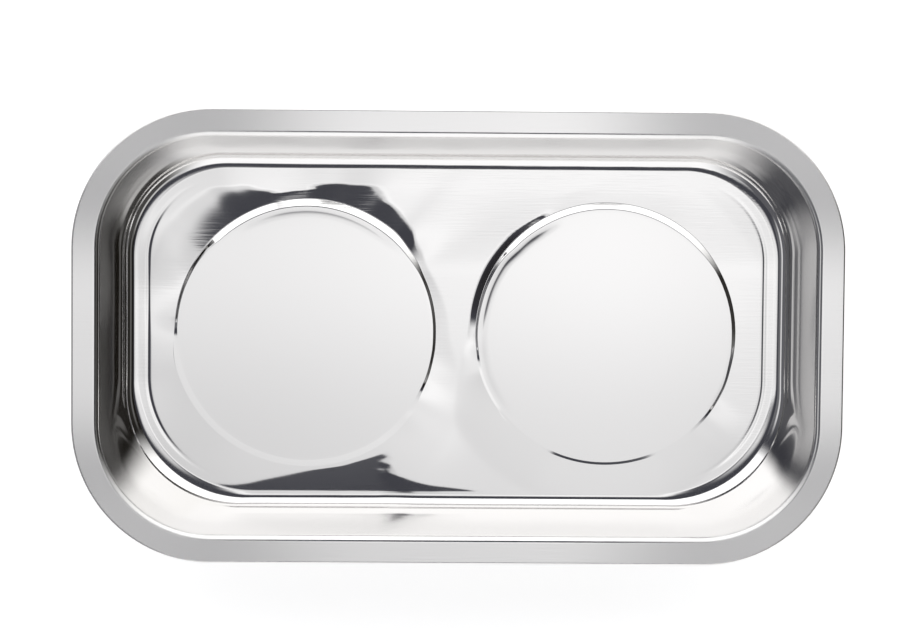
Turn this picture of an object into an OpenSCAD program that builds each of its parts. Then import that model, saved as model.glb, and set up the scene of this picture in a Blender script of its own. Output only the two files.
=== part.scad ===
// Magnetic parts tray: a deep-drawn stainless tray that stands on two magnets in rubber boots.
// The origin is on the bench under the middle of the tray, X runs along the tray and Z is up.

/* [Tray] */
// Length over the rim
tray_l = 240; // [228:1:320]
// Width over the rim
tray_w = 141.5; // [133:0.5:180]
// Depth from the top of the rim to the floor
tray_depth = 25; // [16:0.5:36]
// Thickness of the sheet
sheet_t = 0.6; // [0.4:0.1:0.9]
// Radius of the rim's corners, seen from above
corner_r = 43.5; // [32:0.5:60]
// Width of the flat rim, from its outer edge to the bend into the wall
rim_w = 6.8; // [6:0.1:9]
// Radius of the bend from the rim into the wall, on its upper side
rim_bend_r = 2.3; // [1.5:0.1:4]
// Lean of the walls from upright, in degrees
wall_lean = 17; // [6:0.5:20]
// Radius of the fillet from the wall into the floor, on its upper side
floor_fillet_r = 5; // [3:0.5:10]

/* [Rim hem] */
// Inside radius of the fold that closes the rim's edge
hem_r = 0.25; // [0.2:0.05:0.9]
// Length of the leg folded back under the rim
hem_leg = 3.4; // [2:0.1:4.2]

/* [Magnet seats] */
// Distance between the middles of the two seats
seat_pitch = 94.4; // [90:0.2:106]
// Diameter of the flat top of a seat
seat_d = 78; // [60:1:82]
// Height of a seat above the floor
seat_rise = 1; // [0.6:0.1:1.6]
// Width of the rounded step round a seat
seat_step = 3; // [2.2:0.1:4]
// Share of the step's rounding that lies on its upper edge
seat_crown_share = 0.7; // [0.5:0.05:0.8]

/* [Boots] */
// Height at which the boots hold the floor's underside above the bench
foot_drop = 14.4; // [10:0.2:20]
// Gap all round between a boot and the edge of the seat it stands in
boot_gap = 0.5; // [0.2:0.1:1.5]
// Thickness of a boot's wall at its top
boot_wall = 2.6; // [1.8:0.1:4]
// Thickness of a boot's sole
boot_sole = 2; // [1.2:0.1:4]
// Radius of the edge round a boot's sole
boot_edge_r = 1.6; // [0.6:0.1:2.4]
// Lean of a boot's side, in degrees
boot_lean = 2; // [0.5:0.5:4]
// Thickness of the lip trapped between the magnet and the tray
lip_t = 1; // [0.6:0.1:2]
// Reach of the lip over the magnet
lip_reach = 3; // [1.5:0.5:6]

/* [Magnets] */
// Width of a magnet's ring, from its bore to its edge
magnet_ring_w = 19.4; // [14:0.2:22]
// Chamfer on a magnet's edges
magnet_chamfer = 0.8; // [0.3:0.1:1.2]
// Gap all round between a magnet and its boot
magnet_gap = 0.2; // [0.1:0.05:0.4]
// Gap between a bond's edges and the edges of the magnet and the lip
bond_inset = 1; // [0.5:0.1:2]

/* [Hidden] */
left = -1;
right = 1;
bend_steps = 12;
quarter = 90;
// Flat overlap where the pressed shapes run into the floor
seam = 2;

// Heights
floor_z = foot_drop + sheet_t;
rim_z = floor_z + tray_depth;
seat_roof_z = foot_drop + seat_rise;
magnet_top_z = seat_roof_z - lip_t;

// The wall in section, measured outward from the axis of a corner
wall_slope = quarter - wall_lean;
bends_r = rim_bend_r + floor_fillet_r;
wall_len = (tray_depth - bends_r * (1 - cos(wall_slope))) / sin(wall_slope);
wall_run = bends_r * sin(wall_slope) + wall_len * cos(wall_slope);
rim_bend_at = [corner_r - rim_w, rim_z - rim_bend_r];
fillet_at = [corner_r - rim_w - wall_run, floor_z + floor_fillet_r];
hem_out_r = hem_r + sheet_t;
hem_at = [corner_r - hem_out_r, rim_z - hem_out_r];

// The step round a seat is two bends that meet at its steepest slope
step_slope = 2 * atan(seat_rise / seat_step);
step_bends_r = seat_step / sin(step_slope);
step_crown_r = step_bends_r * seat_crown_share;
step_foot_r = step_bends_r - step_crown_r;
seat_r = seat_d / 2;
seat_foot_r = seat_r + seat_step;

// Boots and magnets
boot_r = seat_r - boot_gap;
boot_lean_run = seat_roof_z * tan(boot_lean);
boot_edge_at = boot_r - (seat_roof_z - boot_edge_r) * tan(boot_lean) - boot_edge_r / cos(boot_lean);
boot_cavity_r = boot_r - boot_lean_run - boot_wall;
magnet_r = boot_cavity_r - magnet_gap;
magnet_bore_r = magnet_r - magnet_ring_w;
lip_r = magnet_r - lip_reach;

$fn = 96;

// Points along an arc about a centre
function arc(at, r, from, to) =
    [for (i = [0 : bend_steps]) at + r * [cos(from + (to - from) * i / bend_steps),
                                          sin(from + (to - from) * i / bend_steps)]];

function reversed(points) = [for (i = [len(points) - 1 : -1 : 0]) points[i]];

// One face of the sheet from the floor to the end of the hem; depth 0 is the upper face
function wall_face(depth) = concat(
    [[fillet_at.x - seam, floor_z - depth]],
    arc(fillet_at, floor_fillet_r + depth, -quarter, wall_slope - quarter),
    arc(rim_bend_at, rim_bend_r - depth, quarter + wall_slope, quarter),
    arc(hem_at, hem_out_r - depth, quarter, -quarter),
    [[hem_at.x - hem_leg, hem_at.y - hem_out_r + depth]]);

// One face of the sheet from the middle of a seat to the floor beside it
function seat_face(depth) = concat(
    [[0, floor_z + seat_rise - depth]],
    arc([seat_r, floor_z + seat_rise - step_crown_r], step_crown_r - depth, quarter, quarter - step_slope),
    arc([seat_foot_r, floor_z + step_foot_r], step_foot_r + depth, -quarter - step_slope, -quarter),
    [[seat_foot_r + seam, floor_z - depth]]);

module wall_section() {
    polygon(concat(wall_face(0), reversed(wall_face(sheet_t))));
}

module seat_section() {
    polygon(concat(seat_face(0), reversed(seat_face(sheet_t))));
}

// A rounded rectangle about the tray's middle, with its corners about the tray's corner axes
module floor_plan(r) {
    square([tray_l - 2 * corner_r, tray_w - 2 * corner_r + 2 * r], center = true);
    square([tray_l - 2 * corner_r + 2 * r, tray_w - 2 * corner_r], center = true);
    for (x = [left, right], y = [left, right])
        translate([x * (tray_l / 2 - corner_r), y * (tray_w / 2 - corner_r)]) circle(r);
}

module at_seat(side) {
    translate([side * seat_pitch / 2, 0]) children();
}

module wall_side(turn, reach, length) {
    rotate(turn) translate([reach / 2 - corner_r, 0])
        rotate([quarter, 0, 0]) linear_extrude(length - 2 * corner_r, center = true) wall_section();
}

module wall_corner(turn, reach, length) {
    rotate(turn) translate([reach / 2 - corner_r, length / 2 - corner_r])
        rotate_extrude(angle = quarter) wall_section();
}

module tray_shell() {
    color("silver") {
        for (turn = [0, 2 * quarter]) {
            wall_side(turn, tray_l, tray_w);
            wall_corner(turn, tray_l, tray_w);
            wall_side(turn + quarter, tray_w, tray_l);
            wall_corner(turn + quarter, tray_w, tray_l);
        }
        translate([0, 0, foot_drop]) linear_extrude(sheet_t) difference() {
            floor_plan(fillet_at.x - seam / 2);
            for (side = [left, right]) at_seat(side) circle(seat_foot_r + seam / 2);
        }
        for (side = [left, right]) at_seat(side) rotate_extrude() seat_section();
    }
}

// A cup with a rounded sole and a lip that hooks over the magnet
module boot(side) {
    color("dimgray") at_seat(side) rotate_extrude() polygon(concat(
        [[0, 0]],
        arc([boot_edge_at, boot_edge_r], boot_edge_r, -quarter, -boot_lean),
        [[boot_r, seat_roof_z],
         [lip_r, seat_roof_z],
         [lip_r, magnet_top_z],
         [boot_cavity_r, magnet_top_z],
         [boot_cavity_r, boot_sole],
         [0, boot_sole]]));
}

module ring_magnet(side) {
    color("slategray") at_seat(side) rotate_extrude() polygon([
        [magnet_bore_r + magnet_chamfer, boot_sole],
        [magnet_r - magnet_chamfer, boot_sole],
        [magnet_r, boot_sole + magnet_chamfer],
        [magnet_r, magnet_top_z - magnet_chamfer],
        [magnet_r - magnet_chamfer, magnet_top_z],
        [magnet_bore_r + magnet_chamfer, magnet_top_z],
        [magnet_bore_r, magnet_top_z - magnet_chamfer],
        [magnet_bore_r, boot_sole + magnet_chamfer]]);
}

module bond(side) {
    color("tan") at_seat(side) translate([0, 0, magnet_top_z]) linear_extrude(lip_t) difference() {
        circle(lip_r - bond_inset);
        circle(magnet_bore_r + magnet_chamfer + bond_inset);
    }
}

tray_shell();
boot(left);  // left_boot
boot(right);  // right_boot
ring_magnet(left);  // left_magnet
ring_magnet(right);  // right_magnet
bond(left);  // left_bond
bond(right);  // right_bond
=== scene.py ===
"""Looks of a magnetic parts tray: a pressed stainless tray on two magnets in rubber boots.

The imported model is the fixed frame. The tray and the boots are modelled again here as fine meshes in
the places that the frame gives; the magnets and their adhesive keep their solids and get materials.
Lengths are metres, unless a class says millimetres, in the frame's own axes: X along the tray,
Y across it, Z up.
"""

import logging
import math
from dataclasses import dataclass, field
from enum import Enum
from typing import Any, Iterable, Optional, Sequence

import bmesh
import bpy
from bmesh.types import BMVert, BMesh
from bpy.types import Material, Mesh, Node, NodeSocket, NodeTree, Object, World
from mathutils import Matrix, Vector


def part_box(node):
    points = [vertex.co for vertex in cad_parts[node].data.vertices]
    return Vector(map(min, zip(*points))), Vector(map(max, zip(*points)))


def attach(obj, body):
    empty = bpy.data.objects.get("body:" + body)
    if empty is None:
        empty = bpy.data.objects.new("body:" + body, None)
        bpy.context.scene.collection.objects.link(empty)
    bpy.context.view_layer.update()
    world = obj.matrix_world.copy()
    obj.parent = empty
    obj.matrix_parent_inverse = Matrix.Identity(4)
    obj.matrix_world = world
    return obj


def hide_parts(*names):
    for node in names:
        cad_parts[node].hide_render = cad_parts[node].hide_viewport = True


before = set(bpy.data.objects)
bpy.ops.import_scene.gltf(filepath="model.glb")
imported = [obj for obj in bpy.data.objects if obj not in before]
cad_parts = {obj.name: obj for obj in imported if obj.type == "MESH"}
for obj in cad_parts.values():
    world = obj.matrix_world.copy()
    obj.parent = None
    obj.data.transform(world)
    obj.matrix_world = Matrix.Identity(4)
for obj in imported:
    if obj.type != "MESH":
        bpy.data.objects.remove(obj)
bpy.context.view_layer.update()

MM = 0.001
BODY = "root"
MERGE_DISTANCE = 0.002 * MM
# Digits kept of a direction, so that a quarter turn comes out exact
DIRECTION_DIGITS = 9
# Attributes of the tray's mesh
SLIDE = "slide"
TILT = "border_slope"
BLANK = "blank"
LOG = logging.getLogger("tray")

Point = tuple[float, float]
Colour = tuple[float, float, float, float]


class Side(Enum):
    """The two magnets of the tray; the value is the sign of X."""

    LEFT = -1
    RIGHT = 1

    @property
    def word(self) -> str:
        """The side's name as the frame's nodes spell it."""
        return self.name.lower()


class Ray(Enum):
    """Kinds of ray, as the Light Path node names them."""

    CAMERA = "Is Camera Ray"
    GLOSSY = "Is Glossy Ray"


def linear_colour(code: str) -> Colour:
    """Turns an sRGB hex colour into the linear colour that nodes take.

    Args:
        code: Six hex digits, such as "c8c6c3".

    Returns:
        Red, green, blue and alpha.
    """
    shares = [int(code[i:i + 2], 16) / 255 for i in (0, 2, 4)]
    linear = [s / 12.92 if s <= 0.04045 else ((s + 0.055) / 1.055) ** 2.4 for s in shares]
    return (linear[0], linear[1], linear[2], 1.0)


def add_node(tree: NodeTree, kind: str, inputs: Optional[dict[Any, Any]] = None, **settings: Any) -> Node:
    """Adds one node with its settings, input values and links.

    Args:
        tree: The tree that gets the node.
        kind: The node's type name.
        inputs: For each input, by name or place, a value or the output socket that feeds it.
        **settings: The node's own properties.

    Returns:
        The new node.
    """
    node = tree.nodes.new(kind)
    for name, value in settings.items():
        setattr(node, name, value)
    for key, value in (inputs or {}).items():
        if isinstance(value, NodeSocket):
            tree.links.new(value, node.inputs[key])
        else:
            node.inputs[key].default_value = value
    return node


def new_material(name: str) -> tuple[Material, NodeTree, Node]:
    """Makes a material with one surface shader.

    Args:
        name: The material's name.

    Returns:
        The material, its tree and its Principled shader.
    """
    material = bpy.data.materials.new(name)
    material.use_nodes = True
    return material, material.node_tree, material.node_tree.nodes["Principled BSDF"]


def smooth_step(share: float) -> float:
    """Eases a share, held between 0 and 1, from 0 to 1 with no slope at either end."""
    share = min(1.0, max(0.0, share))
    return share * share * (3 - 2 * share)


def link_object(name: str, mesh: Mesh) -> Object:
    """Puts a mesh into the scene as an object at the origin.

    Args:
        name: The object's name.
        mesh: Its mesh, already in place.

    Returns:
        The new object.
    """
    piece = bpy.data.objects.new(name, mesh)
    bpy.context.scene.collection.objects.link(piece)
    return piece


@dataclass(frozen=True)
class Corner:
    """A sharp corner of a section and the radius that rounds it.

    Attributes:
        out: Distance outward from the path.
        up: Height above the path.
        radius: Radius of the bend, or 0 for a sharp corner.
    """

    out: float
    up: float
    radius: float = 0.0

    def toward(self, other: "Corner", distance: float) -> "Corner":
        """A plain point on the way to another corner.

        Args:
            other: The corner that the way leads to.
            distance: How far along it.

        Returns:
            The point.
        """
        length = math.hypot(other.out - self.out, other.up - self.up)
        share = distance / length
        return Corner(self.out + (other.out - self.out) * share, self.up + (other.up - self.up) * share)


@dataclass(frozen=True)
class Section:
    """A section as sharp corners with bend radii.

    Attributes:
        corners: The corners from the start on the path to the end.
        support: Distance beyond a bend at which a point keeps the flat beside it flat.
        longest: Longest flat that is left undivided.
    """

    corners: Sequence[Corner]
    support: float = 0.25 * MM
    longest: float = 2.5 * MM

    def _bend_length(self, i: int) -> float:
        """Distance from a sharp corner to where its bend starts.

        Args:
            i: The corner's place in the section.

        Returns:
            The distance, 0 for a sharp corner or an end.
        """
        if i in (0, len(self.corners) - 1) or not self.corners[i].radius:
            return 0.0
        before, here, after = self.corners[i - 1:i + 2]
        way_in = Vector((here.out - before.out, here.up - before.up))
        way_out = Vector((after.out - here.out, after.up - here.up))
        return here.radius * math.tan(way_in.angle(way_out) / 2)

    def supported(self) -> list[Corner]:
        """Adds points that keep the flats flat beside the bends and divide the long ones.

        Returns:
            The corners with the added points.
        """
        result = [self.corners[0]]
        for i in range(1, len(self.corners)):
            start, end = self.corners[i - 1], self.corners[i]
            length = math.hypot(end.out - start.out, end.up - start.up)
            first = self._bend_length(i - 1) + self.support
            last = length - self._bend_length(i) - self.support
            if last - first > self.support:
                count = max(1, math.ceil((last - first) / self.longest))
                result += [start.toward(end, first + (last - first) * k / count) for k in range(count + 1)]
            result.append(end)
        return result


@dataclass
class SectionSweep:
    """A Geometry Nodes tree that rounds a section's corners and sweeps it round a closed path.

    The path is the open edge of the piece's own mesh, so the swept wall grows on to that edge. Where the
    edge carries a slide, the path is moved back by it, and the wall leans over by it from its far end
    down to the edge. Each point keeps its place on the flat sheet in the blank attribute.

    Attributes:
        name: Name of the tree.
        section: The section.
        arc_steps: Points on each rounded corner.
        slide_length: Length of section over which a slide fades out.
        lift_length: Length of section over which a lift of the edge fades out.
        tilt_length: Length of section over which the slope of the piece's border runs on.
        values: Value of each of the tree's inputs, by the identifier of its socket.
    """

    name: str
    section: Section
    arc_steps: int = 12
    slide_length: float = 1 * MM
    lift_length: float = 1 * MM
    tilt_length: float = 1 * MM
    values: dict[str, Any] = field(default_factory=dict)

    def _inputs(self, tree: NodeTree, corners: Sequence[Corner]) -> Node:
        """Adds the tree's named inputs and keeps the values that the modifier will set.

        Args:
            tree: The sweep's tree.
            corners: The section's corners.

        Returns:
            The tree's input node.
        """
        tree.interface.new_socket("Geometry", in_out="INPUT", socket_type="NodeSocketGeometry")
        rows = [(f"Corner {i}", "Vector", (c.out, -c.up, 0.0)) for i, c in enumerate(corners, 1)]
        rows += [(f"Radius {i}", "Float", c.radius) for i, c in enumerate(corners, 1)]
        rows += [("Arc Steps", "Int", self.arc_steps), ("Slide Length", "Float", self.slide_length),
                 ("Lift Length", "Float", self.lift_length), ("Tilt Length", "Float", self.tilt_length)]
        for name, kind, value in rows:
            socket = tree.interface.new_socket(name, in_out="INPUT", socket_type=f"NodeSocket{kind}")
            self.values[socket.identifier] = value
        return add_node(tree, "NodeGroupInput")

    @staticmethod
    def _by_corner(tree: NodeTree, start: Node, count: int, kind: str, word: str) -> NodeSocket:
        """Makes a field that gives each corner of the section its own input.

        Args:
            tree: The sweep's tree.
            start: The tree's input node.
            count: How many corners there are.
            kind: The field's data type.
            word: First word of the inputs' names.

        Returns:
            The field's socket.
        """
        index = add_node(tree, "GeometryNodeInputIndex")
        switch = add_node(tree, "GeometryNodeIndexSwitch", data_type=kind)
        while len(switch.index_switch_items) < count:
            switch.index_switch_items.new()
        tree.links.new(index.outputs[0], switch.inputs["Index"])
        for i in range(count):
            tree.links.new(start.outputs[f"{word} {i + 1}"], switch.inputs[str(i)])
        return switch.outputs[0]

    @staticmethod
    def _capture(tree: NodeTree, geometry: NodeSocket, **fields: tuple[str, NodeSocket]) -> Node:
        """Keeps fields on the points of a geometry.

        Args:
            tree: The sweep's tree.
            geometry: The geometry's socket.
            **fields: For each name, the data type and the field's socket.

        Returns:
            The node, whose outputs are the geometry and then each field.
        """
        node = add_node(tree, "GeometryNodeCaptureAttribute", {0: geometry}, domain="POINT")
        for name, (kind, socket) in fields.items():
            node.capture_items.new(kind, name)
            tree.links.new(socket, node.inputs[name])
        return node

    def _profile(self, tree: NodeTree, start: Node, count: int) -> Node:
        """Makes the section as a curve with rounded corners.

        Args:
            tree: The sweep's tree.
            start: The tree's input node.
            count: How many corners the section has.

        Returns:
            The node, whose outputs are the curve and each point's run along it.
        """
        points = add_node(tree, "GeometryNodePoints", {
            "Count": count, "Position": self._by_corner(tree, start, count, "VECTOR", "Corner")})
        sharp = add_node(tree, "GeometryNodePointsToCurves", {0: points.outputs[0]})
        rounded = add_node(tree, "GeometryNodeFilletCurve", {
            "Curve": sharp.outputs[0],
            "Count": start.outputs["Arc Steps"],
            "Radius": self._by_corner(tree, start, count, "FLOAT", "Radius")}, mode="POLY")
        along = add_node(tree, "GeometryNodeSplineParameter")
        return self._capture(tree, rounded.outputs[0], Run=("FLOAT", along.outputs["Length"]))

    def _path(self, tree: NodeTree, start: Node) -> Node:
        """Makes the path from the mesh's open edge, moved back by its slide and turned to face outward.

        Args:
            tree: The sweep's tree.
            start: The tree's input node.

        Returns:
            The node, whose outputs are the curve, each point's place and its direction outward.
        """
        faces_beside = add_node(tree, "GeometryNodeInputMeshEdgeNeighbors")
        on_edge = add_node(tree, "FunctionNodeCompare", {2: faces_beside.outputs[0], 3: 2},
                           data_type="INT", operation="LESS_THAN")
        edge = add_node(tree, "GeometryNodeMeshToCurve", {
            "Mesh": start.outputs["Geometry"], "Selection": on_edge.outputs[0]})
        slide = add_node(tree, "GeometryNodeInputNamedAttribute", {"Name": SLIDE}, data_type="FLOAT_VECTOR")
        back = add_node(tree, "ShaderNodeVectorMath", {0: slide.outputs[0], "Scale": -1.0},
                        operation="SCALE")
        moved = add_node(tree, "GeometryNodeSetPosition", {
            "Geometry": edge.outputs[0], "Offset": back.outputs[0]})
        level = add_node(tree, "GeometryNodeSetCurveNormal", {"Curve": moved.outputs[0]}, mode="Z_UP")
        place = add_node(tree, "GeometryNodeInputPosition")
        outward = add_node(tree, "GeometryNodeInputNormal")
        middle = add_node(tree, "GeometryNodeAttributeStatistic", {
            "Geometry": level.outputs[0], "Attribute": place.outputs[0]}, data_type="FLOAT_VECTOR")
        away = add_node(tree, "ShaderNodeVectorMath", {0: place.outputs[0], 1: middle.outputs["Mean"]},
                        operation="SUBTRACT")
        facing = add_node(tree, "ShaderNodeVectorMath", {0: away.outputs[0], 1: outward.outputs[0]},
                          operation="DOT_PRODUCT")
        mean_facing = add_node(tree, "GeometryNodeAttributeStatistic", {
            "Geometry": level.outputs[0], "Attribute": facing.outputs["Value"]}, data_type="FLOAT")
        inward = add_node(tree, "FunctionNodeCompare", {0: mean_facing.outputs["Mean"], 1: 0.0},
                          data_type="FLOAT", operation="LESS_THAN")
        turned = add_node(tree, "GeometryNodeReverseCurve", {
            "Curve": level.outputs[0], "Selection": inward.outputs[0]})
        return self._capture(tree, turned.outputs[0], Foot=("VECTOR", place.outputs[0]),
                             Outward=("VECTOR", outward.outputs[0]))

    @staticmethod
    def _lean(tree: NodeTree, start: Node, run: NodeSocket) -> NodeSocket:
        """Works out how far each point of the wall moves for the slide, the lift and the slope of its foot.

        Args:
            tree: The sweep's tree.
            start: The tree's input node.
            run: Each point's run along the section.

        Returns:
            The offset's socket.
        """
        left_over = {}
        # The slope dies away evenly over its length, so on average half of it is left
        for word, end in (("Slide", 0.0), ("Lift", 0.0), ("Tilt", 0.5)):
            left_over[word] = add_node(tree, "ShaderNodeMapRange", {
                "Value": run, "From Max": start.outputs[f"{word} Length"],
                "To Min": 1.0, "To Max": end}).outputs[0]
        slide = add_node(tree, "GeometryNodeInputNamedAttribute", {"Name": SLIDE}, data_type="FLOAT_VECTOR")
        shares = add_node(tree, "ShaderNodeCombineXYZ", {
            0: left_over["Slide"], 1: left_over["Slide"], 2: left_over["Lift"]})
        moved = add_node(tree, "ShaderNodeVectorMath", {0: slide.outputs[0], 1: shares.outputs[0]},
                         operation="MULTIPLY")
        held = add_node(tree, "ShaderNodeMath", {0: run, 1: start.outputs["Tilt Length"]},
                        operation="MINIMUM")
        tilt = add_node(tree, "GeometryNodeInputNamedAttribute", {"Name": TILT}, data_type="FLOAT")
        rise = tilt.outputs[0]
        for share in (held.outputs[0], left_over["Tilt"], left_over["Lift"]):
            rise = add_node(tree, "ShaderNodeMath", {0: rise, 1: share}, operation="MULTIPLY").outputs[0]
        upward = add_node(tree, "ShaderNodeCombineXYZ", {2: rise})
        offset = add_node(tree, "ShaderNodeVectorMath", {0: moved.outputs[0], 1: upward.outputs[0]})
        return offset.outputs[0]

    def tree(self, finish: Material) -> NodeTree:
        """Builds the tree.

        Args:
            finish: The material that the tree sets at its end.

        Returns:
            The tree, with its inputs' values kept in the values field.
        """
        corners = self.section.supported()
        tree = bpy.data.node_groups.new(self.name, "GeometryNodeTree")
        tree.interface.new_socket("Geometry", in_out="OUTPUT", socket_type="NodeSocketGeometry")
        start = self._inputs(tree, corners)
        section = self._profile(tree, start, len(corners))
        path = self._path(tree, start)
        run = section.outputs["Run"]
        swept = add_node(tree, "GeometryNodeCurveToMesh", {
            "Curve": path.outputs[0], "Profile Curve": section.outputs[0]})
        leaning = add_node(tree, "GeometryNodeSetPosition", {
            "Geometry": swept.outputs[0], "Offset": self._lean(tree, start, run)})
        beyond = add_node(tree, "ShaderNodeVectorMath", {0: path.outputs["Outward"], "Scale": run},
                          operation="SCALE")
        unfolded = add_node(tree, "ShaderNodeVectorMath", {0: path.outputs["Foot"], 1: beyond.outputs[0]})
        faces = add_node(tree, "GeometryNodeSeparateGeometry", {0: start.outputs["Geometry"]},
                         domain="FACE")
        place = add_node(tree, "GeometryNodeInputPosition")
        joined = add_node(tree, "GeometryNodeJoinGeometry")
        for part, flat_place in ((faces, place), (leaning, unfolded)):
            kept = add_node(tree, "GeometryNodeStoreNamedAttribute", {
                "Geometry": part.outputs[0], "Name": BLANK, "Value": flat_place.outputs[0]},
                data_type="FLOAT_VECTOR", domain="POINT")
            tree.links.new(kept.outputs[0], joined.inputs[0])
        merged = add_node(tree, "GeometryNodeMergeByDistance", {
            "Geometry": joined.outputs[0], "Distance": MERGE_DISTANCE})
        smooth = add_node(tree, "GeometryNodeSetShadeSmooth", {0: merged.outputs[0]})
        real = add_node(tree, "GeometryNodeRealizeInstances", {0: smooth.outputs[0]})
        dressed = add_node(tree, "GeometryNodeSetMaterial", {
            "Geometry": real.outputs[0], "Material": finish})
        add_node(tree, "NodeGroupOutput", {0: dressed.outputs[0]})
        return tree

    def apply(self, piece: Object, finish: Material) -> None:
        """Sweeps the section round the piece's open edge and keeps the result as a plain mesh.

        Args:
            piece: The object that holds the path; its mesh is replaced.
            finish: Its material.
        """
        modifier = piece.modifiers.new("Sweep", "NODES")
        modifier.node_group = self.tree(finish)
        for identifier, value in self.values.items():
            modifier[identifier] = value
        bpy.context.view_layer.update()
        graph = bpy.context.evaluated_depsgraph_get()
        mesh = bpy.data.meshes.new_from_object(piece.evaluated_get(graph))
        piece.modifiers.remove(modifier)
        piece.data = mesh
        shape = bmesh.new()
        shape.from_mesh(mesh)
        bmesh.ops.recalc_face_normals(shape, faces=shape.faces)
        shape.to_mesh(mesh)
        shape.free()


@dataclass(frozen=True)
class StainlessSheet:
    """Rolled and drawn stainless sheet: a bright floor, satin walls and a rim with duller corners.

    Its fine grain runs along the tray and draws every reflection out across itself.

    Attributes:
        floor_z: Height of the floor.
        rim_z: Height of the rim.
        name: Name of the material.
        tone: Colour of the metal.
        floor_roughness: Roughness of the floor and of the foot of the walls.
        wall_roughness: Roughness of the upper part of the walls.
        satin_from: Heights above the floor between which the one goes over into the other.
        rim_roughness: Roughness of the rim in the middle of the tray's sides.
        corner_roughness: Roughness of the rim's corners.
        rim_from: Depths below the rim between which the wall goes over into it.
        corner_from: Distances from the tray's middle, along and across, at which the corners begin.
        corner_run: Distances over which they come in.
        anisotropy: How strongly the grain draws reflections out.
        corner_anisotropy: The same at the rim's corners.
        grain_length: Length of the grain's streaks.
        grain_width: Width of the grain's streaks.
        grain_detail: How many finer layers the grain has.
        floor_grain: Depth of the grain on the floor.
        seat_grain: Depth of the grain on the seats.
        rim_grain: Depth of the grain on the rim.
        seat_from: Heights above the floor between which the floor's grain goes over into a seat's.
        wall_from: Height above the floor from which it goes over into the rim's.
    """

    floor_z: float
    rim_z: float
    name: str = "stainless_sheet"
    tone: str = "dedddc"
    floor_roughness: float = 0.07
    wall_roughness: float = 0.24
    satin_from: Point = (8 * MM, 19 * MM)
    rim_roughness: float = 0.1
    corner_roughness: float = 0.27
    rim_from: Point = (2.5 * MM, 0.3 * MM)
    corner_from: Point = (22 * MM, 10 * MM)
    corner_run: Point = (80 * MM, 48 * MM)
    anisotropy: float = 0.8
    corner_anisotropy: float = 1.0
    grain_length: float = 12 * MM
    # A real grain is a tenth of this; it is drawn coarser so that it shows
    grain_width: float = 0.6 * MM
    grain_detail: float = 2.0
    floor_grain: float = 0.009 * MM
    seat_grain: float = 0.001 * MM
    rim_grain: float = 0.004 * MM
    seat_from: Point = (0.35 * MM, 0.8 * MM)
    wall_from: float = 2 * MM

    def material(self) -> Material:
        """Builds the material.

        Returns:
            The finished material.
        """
        material, tree, shader = new_material(self.name)
        place = add_node(tree, "ShaderNodeTexCoord")
        x, y, z = add_node(tree, "ShaderNodeSeparateXYZ", {0: place.outputs["Object"]}).outputs
        wall = add_node(tree, "ShaderNodeMapRange", {
            "Value": z, "From Min": self.floor_z + self.satin_from[0],
            "From Max": self.floor_z + self.satin_from[1], "To Min": self.floor_roughness,
            "To Max": self.wall_roughness}, interpolation_type="SMOOTHSTEP")
        rim = add_node(tree, "ShaderNodeMapRange", {
            "Value": z, "From Min": self.rim_z - self.rim_from[0],
            "From Max": self.rim_z - self.rim_from[1]}, interpolation_type="SMOOTHSTEP")
        ends = []
        for value, start, run in zip((x, y), self.corner_from, self.corner_run):
            away = add_node(tree, "ShaderNodeMath", {0: value}, operation="ABSOLUTE")
            ends.append(add_node(tree, "ShaderNodeMapRange", {
                "Value": away.outputs[0], "From Min": start, "From Max": start + run},
                interpolation_type="SMOOTHSTEP").outputs[0])
        corner = add_node(tree, "ShaderNodeMath", {0: ends[0], 1: ends[1]}, operation="MULTIPLY")
        rim_tone = add_node(tree, "ShaderNodeMapRange", {
            "Value": corner.outputs[0], "To Min": self.rim_roughness, "To Max": self.corner_roughness})
        roughness = add_node(tree, "ShaderNodeMix", {
            "Factor": rim.outputs[0], 2: wall.outputs[0], 3: rim_tone.outputs[0]})
        rim_corner = add_node(tree, "ShaderNodeMath", {0: corner.outputs[0], 1: rim.outputs[0]},
                              operation="MULTIPLY")
        brushing = add_node(tree, "ShaderNodeMapRange", {
            "Value": rim_corner.outputs[0], "To Min": self.anisotropy, "To Max": self.corner_anisotropy})
        sheet = add_node(tree, "ShaderNodeAttribute", attribute_name=BLANK)
        stretched = add_node(tree, "ShaderNodeMapping", {
            "Vector": sheet.outputs["Vector"],
            "Scale": (1 / self.grain_length, 1 / self.grain_width, 1.0)})
        grain = add_node(tree, "ShaderNodeTexNoise", {
            "Vector": stretched.outputs[0], "Scale": 1.0, "Detail": self.grain_detail},
            noise_dimensions="2D")
        low_grain = add_node(tree, "ShaderNodeMapRange", {
            "Value": z, "From Min": self.floor_z + self.seat_from[0],
            "From Max": self.floor_z + self.seat_from[1],
            "To Min": self.floor_grain, "To Max": self.seat_grain})
        depth = add_node(tree, "ShaderNodeMapRange", {
            "Value": z, "From Min": self.floor_z + self.wall_from, "From Max": self.rim_z,
            "To Min": low_grain.outputs[0], "To Max": self.rim_grain})
        bump = add_node(tree, "ShaderNodeBump", {
            "Height": grain.outputs[0], "Strength": 1.0, "Distance": depth.outputs[0]})
        # The grain runs along X and spreads reflections across it
        facing = add_node(tree, "ShaderNodeNewGeometry")
        across = add_node(tree, "ShaderNodeVectorMath", {0: facing.outputs["Normal"], 1: (1, 0, 0)},
                          operation="CROSS_PRODUCT")
        shader.inputs["Metallic"].default_value = 1.0
        shader.inputs["Base Color"].default_value = linear_colour(self.tone)
        for name, node in (("Anisotropic", brushing), ("Tangent", across), ("Roughness", roughness),
                           ("Normal", bump)):
            tree.links.new(node.outputs[0], shader.inputs[name])
        return material


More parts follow.
